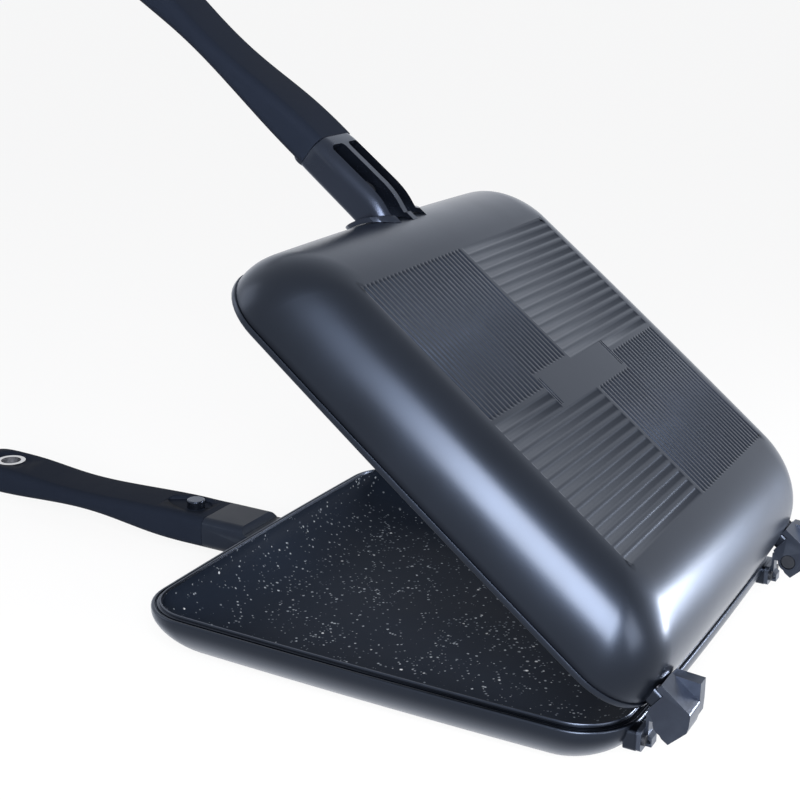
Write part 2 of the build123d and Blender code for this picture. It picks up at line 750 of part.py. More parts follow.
        with BuildSketch(face_plane(face_z + way * recess_depth, -way)):
            with BuildLine():
                wide_x = post_x + 1
                TangentArc((wide_x, recess_half_width), (post_x - recess_back, 0), tangent=(-1, 0))
                TangentArc((wide_x, -recess_half_width), (post_x - recess_back, 0), tangent=(-1, 0))
                ThreePointArc(
                    (wide_x, -recess_half_width), (post_x + recess_front, 0), (wide_x, recess_half_width)
                )
            make_face()
        extrude(amount=2 * recess_depth, mode=Mode.SUBTRACT)
        with BuildSketch(face_plane(face_z, way)):
            with Locations((post_x, 0)):
                Circle(post_diameter / 2 + post_clearance)
        extrude(amount=recess_depth + post_seat_depth + post_clearance, mode=Mode.SUBTRACT)
    pieces[f"{half}_grip"] = grip

    with BuildPart() as grip_bolt:
        with BuildSketch(across(bolt_seat_x, bolt_z)):
            Circle(bolt_head_diameter / 2)
        extrude(amount=bolt_head_height)
        with BuildSketch(across(bolt_seat_x, bolt_z)):
            Circle(bolt_diameter / 2)
        extrude(amount=-(joint_x - tang_length - bolt_seat_x) - bolt_thread_length)
    pieces[f"{half}_grip_bolt"] = grip_bolt

    with BuildPart() as hanging_eyelet:
        low_lip = swell_face + way * dish_depth
        with BuildSketch(face_plane(low_lip, way)):
            with Locations((eyelet_x, 0)):
                Circle(eyelet_diameter / 2)
        extrude(amount=swell_thickness - 2 * dish_depth)
        for lip_z, out in ((low_lip, -way), (swell_face + way * (swell_thickness - dish_depth), way)):
            with BuildSketch(face_plane(lip_z, out)):
                with Locations((eyelet_x, 0)):
                    Circle(eyelet_diameter / 2 + eyelet_lip_width)
            extrude(amount=eyelet_lip_height)
        with BuildSketch(face_plane(swell_face - way, way)):
            with Locations((eyelet_x, 0)):
                Circle(eyelet_diameter / 2 - eyelet_wall)
        extrude(amount=swell_thickness + 2, mode=Mode.SUBTRACT)
    pieces[f"{half}_hanging_eyelet"] = hanging_eyelet

    # Magnet post: a cup pressed into the grip, open at its root, with a magnet under its cap
    post_root = face_z + way * (recess_depth + post_seat_depth)
    post_length = post_seat_depth + post_height
    with BuildPart() as magnet_post:
        with BuildSketch(face_plane(post_root, -way)):
            with Locations((post_x, 0)):
                Circle(post_diameter / 2)
        extrude(amount=post_length)
        end_edges = magnet_post.edges().filter_by(GeomType.CIRCLE).sort_by(Axis.Z)
        fillet(end_edges[0 if way > 0 else -1], post_edge_round)
        with BuildSketch(face_plane(post_root, -way)):
            with Locations((post_x, 0)):
                Circle((magnet_diameter + magnet_clearance) / 2)
        extrude(amount=post_length - post_cap, mode=Mode.SUBTRACT)
    pieces[f"{half}_magnet_post"] = magnet_post

    with BuildPart() as magnet:
        with BuildSketch(face_plane(post_root - way * (post_length - post_cap - magnet_clearance), way)):
            with Locations((post_x, 0)):
                Circle(magnet_diameter / 2)
        extrude(amount=magnet_height)
    pieces[f"{half}_magnet"] = magnet

for name, piece in pieces.items():
    if name.startswith(("upper", "hinge_block", "hinge_pin")):
        piece.part = piece.part.rotate(hinge_axis, rest_opening)
    piece.part.label = name
    export_step(piece.part, f"parts/{name}.step")
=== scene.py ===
import json
from math import cos, pi, radians, sin

import bmesh
import bpy
from mathutils import Matrix, Vector


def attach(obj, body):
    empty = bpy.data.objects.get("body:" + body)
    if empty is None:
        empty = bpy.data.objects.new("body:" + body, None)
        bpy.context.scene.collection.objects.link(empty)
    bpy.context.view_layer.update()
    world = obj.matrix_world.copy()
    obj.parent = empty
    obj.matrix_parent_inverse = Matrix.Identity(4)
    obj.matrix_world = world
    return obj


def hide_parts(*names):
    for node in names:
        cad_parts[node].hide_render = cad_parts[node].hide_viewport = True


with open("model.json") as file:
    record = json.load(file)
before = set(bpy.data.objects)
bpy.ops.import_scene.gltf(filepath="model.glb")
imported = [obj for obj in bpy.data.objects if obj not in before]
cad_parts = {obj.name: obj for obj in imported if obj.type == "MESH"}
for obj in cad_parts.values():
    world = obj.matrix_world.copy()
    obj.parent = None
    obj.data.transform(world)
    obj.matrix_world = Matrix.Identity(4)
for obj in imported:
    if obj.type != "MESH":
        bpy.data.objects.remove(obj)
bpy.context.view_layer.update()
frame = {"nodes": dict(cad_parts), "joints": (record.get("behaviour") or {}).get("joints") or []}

# Sizes are in millimetres and are scaled to metres where a mesh is made
MM = 0.001

# Pans, with the part's sizes: X runs from the handles to the hinge, and the face is the outside
PAN_LENGTH = 230.0
PAN_WIDTH = 224.0
CORNER_RADIUS = 25.0
FACE_CORNER_RADIUS = 7.0
FLOOR_CORNER_RADIUS = 6.0
SIDE_BOW = 1.4
FLOOR_THICKNESS = 4.5
WALL_THINNING = 3.0
RIM_WIDTH = 5.0
RIM_BAND = 3.0
RIM_ROUNDING = 1.0
# the upper rim's bead, which only the scene has
RIM_BEAD = 0.7
LOWER_INSET = 1.5
GROOVE_OFFSET = 1.5
LIP_OFFSET = 3.6
REBATE_OFFSET = 4.6
REBATE_DEPTH = 1.7
REBATE_EDGE = 0.2
# rim groove and lip in section: how far inward of their offset, and how far into the pan
GROOVE_SHAPE = (
    (-0.15, 0), (0.05, 0.12), (0.1, 0.7), (0.3, 0.9),
    (0.9, 0.9), (1.1, 0.7), (1.15, 0.12), (1.35, 0),
)
LIP_SHAPE = (
    (-0.15, 0), (0.0, -0.15), (0.05, -0.9), (0.25, -1.2),
    (0.75, -1.2), (0.95, -0.9), (1.0, -0.15), (1.1, 0),
)

# way up from the rim, length, width, rim height, depth, shoulder along X and along Y
LOWER = (-1, PAN_LENGTH - 2 * LOWER_INSET, PAN_WIDTH - 2 * LOWER_INSET, 23.0, 23.0, 31.0, 26.0)
UPPER = (1, PAN_LENGTH, PAN_WIDTH, 23.3, 36.0, 38.5, 24.5)
# how early a wall leaves the rim for its shoulder: one is an even quarter of an ellipse
LOWER_EASE = 0.78

# Grooved face: fine grooves along X and broad ones along Y, round a plain centre plate
PANEL_X = 73.5
PANEL_MARGIN = 1.2
FIELD_GAP = 1.5
FINE_COUNT = 27
BROAD_COUNT = 15
PLATE_X = 7.8
PLATE_Y = 34.0
PLATE_SHIFT = 1.5
PLATE_LINE_PITCH = 1.6
PLATE_LINE_INSET = 0.5
# how much shorter a field's row of grooves is than its place, so that neighbours stay apart
FIELD_PART = 0.1
RIDGE_WIDTH = 0.7
FINE_GROOVE = {
    "Groove Width": 1.7, "Groove Depth": 0.75, "Flatness": 1.5, "End Margin": 0.2, "End Ramp": 1.6,
}
BROAD_GROOVE = {"Groove Depth": 0.45, "Flatness": 2.2, "End Margin": 0.2, "End Ramp": 1.2}
PLATE_LINE = {
    "Groove Width": 0.8, "Groove Depth": 0.35, "Flatness": 1.0, "End Margin": 0.15, "End Ramp": 0.6,
}

# Upper bracket, closed over the lower pan: place along X, heights of its inner and outer faces
BRACKET_HALF_WIDTH = 15.0
BRACKET_CROWN = 7.0
BRACKET_INNER_ROUND = 3.0
BRACKET_CORNER_STEPS = 9
BRACKET_LINE = (
    (-149.5, 39.1, 55.3), (-146.0, 39.0, 55.8), (-131.0, 38.9, 56.0), (-118.0, 38.8, 56.1),
    (-114.5, 38.7, 55.9), (-111.5, 38.7, 55.5), (-108.5, 38.6, 54.8), (-105.5, 38.6, 53.8),
    (-102.0, 38.5, 52.8), (-96.0, 38.5, 51.8), (-88.0, 38.5, 51.2),
)
# its channels lie between two places on each side of the middle; each has a deep and a long part,
# as start, end and height of the floor
CHANNEL_START = 1.8
CHANNEL_END = 11.4
CHANNEL_ROUND = 2.2
CHANNEL_TOP = 62.0
CHANNEL_PARTS = ((-144.3, -128.0, 43.0), (-144.3, -96.0, 49.75))
FOOT_X = (-122.0, -90.0)
FOOT_WIDTH = 36.0
FOOT_LENGTH = 22.0
FOOT_HEIGHT = 43.0
FOOT_THICKNESS = 1.8
WALL_OVERLAP = 0.1

# Upper magnet post: what lies below the root is drawn up by the lift
POST_ROOT = 38.0
POST_LIFT = 5.0

# Hinge: the middle of each block and lug along Y, and the pins' common line
HINGE_Y = 86.8
PIN = (123.8, 26.0)
PIN_BORE_RADIUS = 2.05
PIN_SEAT_RADIUS = 3.5
PIN_SEAT_DEPTH = 1.2

# Pads on the pans: outer face along X, offset along Y, middle along Z, width and height
PAD_X = 115.3
BLOCK_PAD = (PAD_X, 2.9, 30.3, 17.2, 8.0)
LUG_PAD = (113.8, 0.0, 17.3, 16.0, 9.0)
PAD_DEPTH = 5.0
PAD_ROUND = 2.0
PAD_EDGE = 0.15

# Hinge blocks, closed over the lower pan. Their top plate runs over the pad to the pan's shoulder.
BLOCK_WIDTH = 12.0
BLOCK_TOP = 37.2
PLATE_UNDERSIDE = 34.4
PLATE_ROOT = 112.0
INNER_CHEEK = 2.8
OUTER_CHEEK = 2.6
CHEEK_ROUND = 4.7
BLIND_SKIN = 0.9
FIN_THICKNESS = 5.8
FIN_OVERLAP = 0.2
# profiles of X and Z: the heel, the end wall down to the tip, the fin and the hollow
BLOCK_HEEL = (PAD_X, 25.2)
NOSE_CENTRE = (126.2, 35.7)
NOSE_RADIUS = 1.5
END_WALL = ((129.9, 32.9), (130.9, 30.6), (129.7, 21.2), (126.6, 21.0))
FIN_PROFILE = (
    (PAD_X, 31.0), (PAD_X, PLATE_UNDERSIDE), (112.6, PLATE_UNDERSIDE), (112.6, 36.4), (122.1, 42.8),
    (126.9, 36.8), (130.0, 32.5), (130.2, 31.0),
)
HOLLOW_PROFILE = (
    (126.3, 15.0), (112.0, 15.0), (112.0, 31.0), (117.1, 31.0), (120.1, 34.0), (124.9, 34.0),
    (126.8, 32.6), (128.2, 30.2),
)

# Smoothness of the curves, and how edges are softened
CORNER_STEPS = 12
SIDE_STEPS = 20
WALL_STEPS = 24
ROUNDING_STEPS = 5
RECTANGLE_STEPS = 6
SOFT_EDGE = 0.35
LOWER_BRACKET_EDGE = 0.5
MERGE_DISTANCE = 0.002
WELD_DISTANCE = 0.03
# angles in degrees: where copied and cut pieces are softened, and where they stay sharp after that
COPY_SOFT_ANGLE = 38
CUT_SOFT_ANGLE = 32
SHARP_ANGLE = 40
CUT_SHARP_ANGLE = 15
FLAT_ANGLE = 0.6

hinge = frame["joints"][0]
HINGE = Vector(hinge["pos_m"])
OPENING = radians(-hinge["range_deg"][0])
OPENED = Matrix.Translation(HINGE) @ Matrix.Rotation(OPENING, 4, "Y") @ Matrix.Translation(-HINGE)


# Shader node groups

def shader_group(name, inputs, outputs):
    """An empty shader node group with its input and output sockets."""
    tree = bpy.data.node_groups.new(name, "ShaderNodeTree")
    for label, kind, value in inputs:
        socket = tree.interface.new_socket(label, in_out="INPUT", socket_type=kind)
        if value is not None:
            socket.default_value = value
    for label, kind in outputs:
        tree.interface.new_socket(label, in_out="OUTPUT", socket_type=kind)
    start = tree.nodes.new("NodeGroupInput")
    end = tree.nodes.new("NodeGroupOutput")
    return tree, start, end


def add(tree, kind, **settings):
    """A node with its properties, and its sockets set or linked by name or number."""
    node = tree.nodes.new(kind)
    sockets = settings.pop("sockets", {})
    for key, value in settings.items():
        setattr(node, key, value)
    for key, value in sockets.items():
        if isinstance(value, bpy.types.NodeSocket):
            tree.links.new(value, node.inputs[key])
        else:
            node.inputs[key].default_value = value
    return node


def blend_colors(tree, share, first, second, mode="MIX"):
    """A colour mixed from two, which are colours or sockets."""
    node = add(tree, "ShaderNodeMix", data_type="RGBA", blend_type=mode)
    for index, value in ((0, share), (6, first), (7, second)):
        if isinstance(value, bpy.types.NodeSocket):
            tree.links.new(value, node.inputs[index])
        else:
            node.inputs[index].default_value = value
    return node.outputs[2]


def cast_grain_group():
    """Fine orange peel, slow mottling of the tone and a height for the bump."""
    tree, start, end = shader_group(
        "cast grain",
        (
            ("Vector", "NodeSocketVector", None),
            ("Grain Scale", "NodeSocketFloat", 1800.0),
            ("Mottle Scale", "NodeSocketFloat", 28.0),
            ("Tone Range", "NodeSocketFloat", 0.1),
        ),
        (
            ("Tone", "NodeSocketFloat"),
            ("Height", "NodeSocketFloat"),
            ("Roughness Shift", "NodeSocketFloat"),
        ),
    )
    fine, slow = (
        add(
            tree, "ShaderNodeTexNoise",
            sockets={"Vector": start.outputs["Vector"], "Scale": start.outputs[scale], "Detail": detail},
        )
        for scale, detail in (("Grain Scale", 3.0), ("Mottle Scale", 4.0))
    )
    both = add(
        tree, "ShaderNodeMath", operation="MULTIPLY_ADD",
        sockets={0: fine.outputs["Fac"], 1: 0.5, 2: slow.outputs["Fac"]},
    )
    # their sum is brought near zero, so that the tone stays near one
    centred = add(tree, "ShaderNodeMath", operation="SUBTRACT", sockets={0: both.outputs[0], 1: 0.88})
    tone = add(
        tree, "ShaderNodeMath", operation="MULTIPLY_ADD",
        sockets={0: centred.outputs[0], 1: start.outputs["Tone Range"], 2: 1.0},
    )
    shift = add(
        tree, "ShaderNodeMath", operation="MULTIPLY_ADD",
        sockets={0: slow.outputs["Fac"], 1: 0.16, 2: -0.08},
    )
    tree.links.new(tone.outputs[0], end.inputs["Tone"])
    tree.links.new(fine.outputs["Fac"], end.inputs["Height"])
    tree.links.new(shift.outputs[0], end.inputs["Roughness Shift"])
    return tree


def fleck_group():
    """Scattered ragged flecks of mixed size, as a mask and a tone for each fleck."""
    tree, start, end = shader_group(
        "coating flecks",
        (
            ("Vector", "NodeSocketVector", None),
            ("Scale", "NodeSocketFloat", 700.0),
            ("Share", "NodeSocketFloat", 0.2),
            ("Size", "NodeSocketFloat", 0.35),
            ("Clumping", "NodeSocketFloat", 0.5),
        ),
        (("Mask", "NodeSocketFloat"), ("Tone", "NodeSocketFloat")),
    )
    ragged = add(
        tree, "ShaderNodeTexNoise",
        sockets={"Vector": start.outputs["Vector"], "Scale": 2600.0, "Detail": 2.0},
    )
    shift = add(
        tree, "ShaderNodeVectorMath", operation="MULTIPLY_ADD",
        sockets={0: ragged.outputs["Color"], 1: (0.0006, 0.0006, 0.0006), 2: start.outputs["Vector"]},
    )
    cells = add(
        tree, "ShaderNodeTexVoronoi",
        sockets={"Vector": shift.outputs[0], "Scale": start.outputs["Scale"], "Randomness": 1.0},
    )
    parts = add(tree, "ShaderNodeSeparateColor", sockets={0: cells.outputs["Color"]})
    clumps = add(
        tree, "ShaderNodeTexNoise",
        sockets={"Vector": start.outputs["Vector"], "Scale": 55.0, "Detail": 2.0},
    )
    lean = add(tree, "ShaderNodeMath", operation="SUBTRACT", sockets={0: clumps.outputs["Fac"], 1: 0.5})
    chance = add(
        tree, "ShaderNodeMath", operation="MULTIPLY_ADD",
        sockets={0: lean.outputs[0], 1: start.outputs["Clumping"], 2: parts.outputs[0]},
    )
    threshold = add(
        tree, "ShaderNodeMath", operation="SUBTRACT", sockets={0: 1.0, 1: start.outputs["Share"]}
    )
    above = add(
        tree, "ShaderNodeMath", operation="SUBTRACT",
        sockets={0: chance.outputs[0], 1: threshold.outputs[0]},
    )
    part = add(
        tree, "ShaderNodeMath", operation="DIVIDE", use_clamp=True,
        sockets={0: above.outputs[0], 1: start.outputs["Share"]},
    )
    reach = add(
        tree, "ShaderNodeMath", operation="MULTIPLY",
        sockets={0: part.outputs[0], 1: start.outputs["Size"]},
    )
    inside = add(
        tree, "ShaderNodeMath", operation="SUBTRACT",
        sockets={0: reach.outputs[0], 1: cells.outputs["Distance"]},
    )
    mask = add(
        tree, "ShaderNodeMath", operation="MULTIPLY", use_clamp=True,
        sockets={0: inside.outputs[0], 1: 9.0},
    )
    tree.links.new(mask.outputs[0], end.inputs["Mask"])
    tree.links.new(parts.outputs[1], end.inputs["Tone"])
    return tree


def edge_and_recess_shade_group():
    """A mask along raised edges, broken up by noise, and a mask of painted shade in the bottoms of
    grooves.
    """
    tree, start, end = shader_group(
        "lighter edges and painted recess shade",
        (("Vector", "NodeSocketVector", None), ("Amount", "NodeSocketFloat", 1.0)),
        (("Mask", "NodeSocketFloat"), ("Recess Shade", "NodeSocketFloat")),
    )
    shape = add(tree, "ShaderNodeNewGeometry")
    raised, painted_recess_shade = (
        add(
            tree, "ShaderNodeMapRange", clamp=True,
            sockets={0: shape.outputs["Pointiness"], 1: near, 2: far, 3: 0.0, 4: 1.0},
        )
        for near, far in ((0.52, 0.6), (0.49, 0.44))
    )
    patchy = add(
        tree, "ShaderNodeTexNoise",
        sockets={"Vector": start.outputs["Vector"], "Scale": 260.0, "Detail": 4.0},
    )
    broken = add(
        tree, "ShaderNodeMath", operation="MULTIPLY",
        sockets={0: raised.outputs[0], 1: patchy.outputs["Fac"]},
    )
    amount = add(
        tree, "ShaderNodeMath", operation="MULTIPLY", use_clamp=True,
        sockets={0: broken.outputs[0], 1: start.outputs["Amount"]},
    )
    tree.links.new(amount.outputs[0], end.inputs["Mask"])
    tree.links.new(painted_recess_shade.outputs[0], end.inputs["Recess Shade"])
    return tree


CAST_GRAIN = cast_grain_group()
FLECKS = fleck_group()
EDGE_AND_RECESS_SHADE = edge_and_recess_shade_group()

# Painted shade: recesses are darkened towards this colour, and their varnish is dulled by this share
PAINTED_RECESS_SHADE_COLOR = (0.003, 0.004, 0.007, 1)
RECESS_DULLING = 0.9
VARNISH_ROUGHNESS = 0.26
VARNISH_IOR = 1.25
GRAIN_HEIGHT = 0.0001


# Materials

def new_material(name):
    """A material with a Principled shader and Object coordinates."""
    material = bpy.data.materials.new(name)
    material.use_nodes = True
    tree = material.node_tree
    tree.nodes.clear()
    out = tree.nodes.new("ShaderNodeOutputMaterial")
    surface = tree.nodes.new("ShaderNodeBsdfPrincipled")
    tree.links.new(surface.outputs[0], out.inputs[0])
    place = tree.nodes.new("ShaderNodeTexCoord").outputs["Object"]
    return material, tree, surface, place


def use_group(tree, group, place, **values):
    """A group node fed with the pattern's coordinates and its own values."""
    node = tree.nodes.new("ShaderNodeGroup")
    node.node_tree = group
    tree.links.new(place, node.inputs["Vector"])
    for key, value in values.items():
        node.inputs[key.replace("_", " ")].default_value = value
    return node


def add_grain(tree, surface, grain, roughness, bump):
    """Roughness that drifts with the mottling, and a bump from the orange peel."""
    rough = add(
        tree, "ShaderNodeMath", operation="ADD",
        sockets={0: grain.outputs["Roughness Shift"], 1: roughness},
    )
    tree.links.new(rough.outputs[0], surface.inputs["Roughness"])
    relief = add(
        tree, "ShaderNodeBump",
        sockets={"Height": grain.outputs["Height"], "Strength": bump, "Distance": GRAIN_HEIGHT},
    )
    tree.links.new(relief.outputs[0], surface.inputs["Normal"])


def painted(
    name, color, edge_color, roughness, metallic, bump, grain_scale=1800.0, tone_range=0.12, edge_lightness=0.5,
    specular=0.4, varnish=0.0, sheen_color=(1, 1, 1, 1),
):
    """Paint over a casting, or plain metal: mottled, with lighter edges, and recesses darkened and
    dulled as painted shade.
    """
    material, tree, surface, place = new_material(name)
    grain = use_group(tree, CAST_GRAIN, place, Grain_Scale=grain_scale, Tone_Range=tone_range)
    edge_and_shade_masks = use_group(tree, EDGE_AND_RECESS_SHADE, place, Amount=edge_lightness)
    toned = blend_colors(tree, 1.0, color, grain.outputs["Tone"], "MULTIPLY")
    # painted shade: the bottoms of grooves and other recesses are darkened towards a near black
    painted_recess_shade = blend_colors(tree, edge_and_shade_masks.outputs["Recess Shade"], toned, PAINTED_RECESS_SHADE_COLOR)
    # raised edges, broken up by noise, are lightened towards the edge colour
    edge_lightened = blend_colors(tree, edge_and_shade_masks.outputs["Mask"], painted_recess_shade, edge_color)
    tree.links.new(edge_lightened, surface.inputs["Base Color"])
    # painted shade also dulls the varnish in recesses
    gloss = add(
        tree, "ShaderNodeMath", operation="MULTIPLY_ADD",
        sockets={0: edge_and_shade_masks.outputs["Recess Shade"], 1: -RECESS_DULLING * varnish, 2: varnish},
    )
    tree.links.new(gloss.outputs[0], surface.inputs["Coat Weight"])
    add_grain(tree, surface, grain, roughness, bump)
    surface.inputs["Metallic"].default_value = metallic
    surface.inputs["Coat Roughness"].default_value = VARNISH_ROUGHNESS
    surface.inputs["Coat IOR"].default_value = VARNISH_IOR
    surface.inputs["Specular Tint"].default_value = sheen_color
    surface.inputs["Specular IOR Level"].default_value = specular
    return material


def coated(name):
    """Dark non-stick coating with pale flecks of two sizes."""
    material, tree, surface, place = new_material(name)
    grain = use_group(tree, CAST_GRAIN, place, Grain_Scale=2600.0, Tone_Range=0.2)
    small = use_group(tree, FLECKS, place, Scale=720.0, Share=0.3, Size=0.5, Clumping=0.5)
    large = use_group(tree, FLECKS, place, Scale=300.0, Share=0.2, Size=0.26, Clumping=0.6)
    base = blend_colors(tree, 1.0, (0.009, 0.013, 0.022, 1), grain.outputs["Tone"], "MULTIPLY")
    grey = blend_colors(tree, small.outputs["Tone"], (0.04, 0.05, 0.07, 1), (0.3, 0.33, 0.37, 1))
    flecked = blend_colors(tree, small.outputs["Mask"], base, grey)
    white = blend_colors(tree, large.outputs["Tone"], (0.12, 0.14, 0.17, 1), (0.72, 0.74, 0.78, 1))
    speckled = blend_colors(tree, large.outputs["Mask"], flecked, white)
    tree.links.new(speckled, surface.inputs["Base Color"])
    add_grain(tree, surface, grain, roughness=0.5, bump=0.25)
    surface.inputs["Specular IOR Level"].default_value = 0.03
    return material


pan_paint = painted(
    "pan paint", (0.016, 0.0215, 0.034, 1), (0.06, 0.075, 0.12, 1), roughness=0.33, metallic=1.0,
    bump=0.12, specular=0.2, varnish=0.75, sheen_color=(0.82, 0.88, 1, 1),
)
coating = coated("speckled coating")
bracket_paint = painted(
    "bracket paint", (0.016, 0.022, 0.038, 1), (0.05, 0.06, 0.08, 1), roughness=0.28, metallic=0.9,
    bump=0.06, specular=0.3, varnish=0.8, sheen_color=(0.8, 0.87, 1, 1),
)
# A darker, duller copy of the bracket paint: painted shade on the lower bracket
shaded_bracket_paint = painted(
    "bracket paint darkened as painted shade", (0.012, 0.016, 0.026, 1), (0.04, 0.05, 0.065, 1), roughness=0.42,
    metallic=0.5, bump=0.08, specular=0.05, varnish=0.1,
)
hinge_paint = painted(
    "hinge paint", (0.022, 0.028, 0.044, 1), (0.09, 0.11, 0.15, 1), roughness=0.32, metallic=0.8,
    bump=0.5, grain_scale=700.0, specular=0.3, varnish=0.6, sheen_color=(0.82, 0.88, 1, 1),
)
grip_skin = painted(
    "grip soft touch", (0.009, 0.012, 0.02, 1), (0.015, 0.019, 0.028, 1), roughness=0.55, metallic=0.0,
    bump=0.2, grain_scale=2400.0, tone_range=0.16, edge_lightness=0.3, specular=0.015,
)
steel = painted(
    "plain steel", (0.42, 0.43, 0.46, 1), (0.6, 0.61, 0.63, 1), roughness=0.3, metallic=1.0, bump=0.1
)
eyelet_steel = painted(
    "eyelet steel", (0.5, 0.51, 0.54, 1), (0.7, 0.7, 0.72, 1), roughness=0.22, metallic=1.0, bump=0.05
)
# Steel darkened as painted shade, for the shade of the channels and holes that screws and pins sit in
shaded_steel = painted(
    "steel darkened as painted shade", (0.012, 0.014, 0.02, 1), (0.05, 0.055, 0.065, 1), roughness=0.42, metallic=0.6,
    bump=0.1,
)
magnet_metal = painted(
    "magnet", (0.12, 0.12, 0.13, 1), (0.3, 0.3, 0.3, 1), roughness=0.4, metallic=0.8, bump=0.1
)


# Meshes

def mesh_object(bm, name, materials):
    """A finished mesh object at the origin, from millimetres, smooth up to its sharp edges."""
    bmesh.ops.scale(bm, vec=(MM, MM, MM), verts=bm.verts)
    mesh = bpy.data.meshes.new(name)
    bm.to_mesh(mesh)
    bm.free()
    for material in materials:
        mesh.materials.append(material)
    mesh.shade_smooth()
    mesh.set_sharp_from_angle(angle=radians(SHARP_ANGLE))
    obj = bpy.data.objects.new(name, mesh)
    bpy.context.scene.collection.objects.link(obj)
    return obj


def outline(length, width, radius, height):
    """Points round one level of a pan: gently bowed sides and round corners."""
    half_x, half_y = length / 2, width / 2
    ends = []
    for right, far, start in ((1, 1, 0), (-1, 1, 90), (-1, -1, 180), (1, -1, 270)):
        turn = [radians(start + 90 * n / CORNER_STEPS) for n in range(CORNER_STEPS + 1)]
        centre_x, centre_y = right * (half_x - radius), far * (half_y - radius)
        ends.append([(centre_x + radius * cos(a), centre_y + radius * sin(a)) for a in turn])
    flat = []
    for corner, following in zip(ends, ends[1:] + ends[:1]):
        flat += corner
        (x0, y0), (x1, y1) = corner[-1], following[0]
        for n in range(1, SIDE_STEPS):
            flat.append((x0 + (x1 - x0) * n / SIDE_STEPS, y0 + (y1 - y0) * n / SIDE_STEPS))
    return [
        (
            x * (1 - SIDE_BOW / half_x * (y / half_y) ** 2),
            y * (1 - SIDE_BOW / half_y * (x / half_x) ** 2),
            height,
        )
        for x, y in flat
    ]


def pan_profile(half):
    """Rings of a pan from the edge of its face over the rim to its floor.

    Each has its length, width, corner radius, height and whether its skin is inside the pan.
    """
    way, length, width, rim, depth, shoulder_x, shoulder_y = half
    rings = []

    def ring(inset_x, inset_y, height, radius, inside):
        size = (length - 2 * inset_x, width - 2 * inset_y, max(radius, 0.5))
        rings.append((*size, rim + way * height, inside))

    def band(inset, height, inside):
        ring(inset, inset, height, CORNER_RADIUS - inset, inside)

    bead = RIM_BEAD if way > 0 else 0.0
    for step in range(WALL_STEPS, -1, -1):
        angle = radians(90 * step / WALL_STEPS)
        share = (1 - cos(angle)) ** (1 if way > 0 else LOWER_EASE)
        behind_bead = bead * cos(angle)
        ring(
            shoulder_x * share + behind_bead, shoulder_y * share + behind_bead,
            RIM_BAND + (depth - RIM_BAND) * sin(angle),
            CORNER_RADIUS + (FACE_CORNER_RADIUS - CORNER_RADIUS) * share - behind_bead, False,
        )
    if bead:
        # the bead comes out over the end of the wall
        band(0.25 * bead, RIM_BAND - 0.1, False)
        band(0.0, RIM_BAND - 0.5, False)
    for step in range(ROUNDING_STEPS + 1):
        angle = radians(90 * step / ROUNDING_STEPS)
        band(RIM_ROUNDING * (1 - cos(angle)), RIM_ROUNDING * (1 - sin(angle)), False)
    if way < 0:
        for offset, shape in ((GROOVE_OFFSET, GROOVE_SHAPE), (LIP_OFFSET, LIP_SHAPE)):
            for across, down in shape:
                band(offset + across, down, False)
        first = 0
    else:
        band(REBATE_OFFSET - REBATE_EDGE, 0, False)
        band(REBATE_OFFSET, REBATE_EDGE, False)
        band(REBATE_OFFSET, REBATE_DEPTH, True)
        first = 1
    inner_radius = CORNER_RADIUS - RIM_WIDTH
    for step in range(first, WALL_STEPS + 1):
        angle = radians(90 * step / WALL_STEPS)
        share = 1 - cos(angle)
        ring(
            RIM_WIDTH + (shoulder_x - WALL_THINNING) * share,
            RIM_WIDTH + (shoulder_y - WALL_THINNING) * share,
            (depth - FLOOR_THICKNESS) * sin(angle),
            inner_radius + (FLOOR_CORNER_RADIUS - inner_radius) * share, True,
        )
    return rings


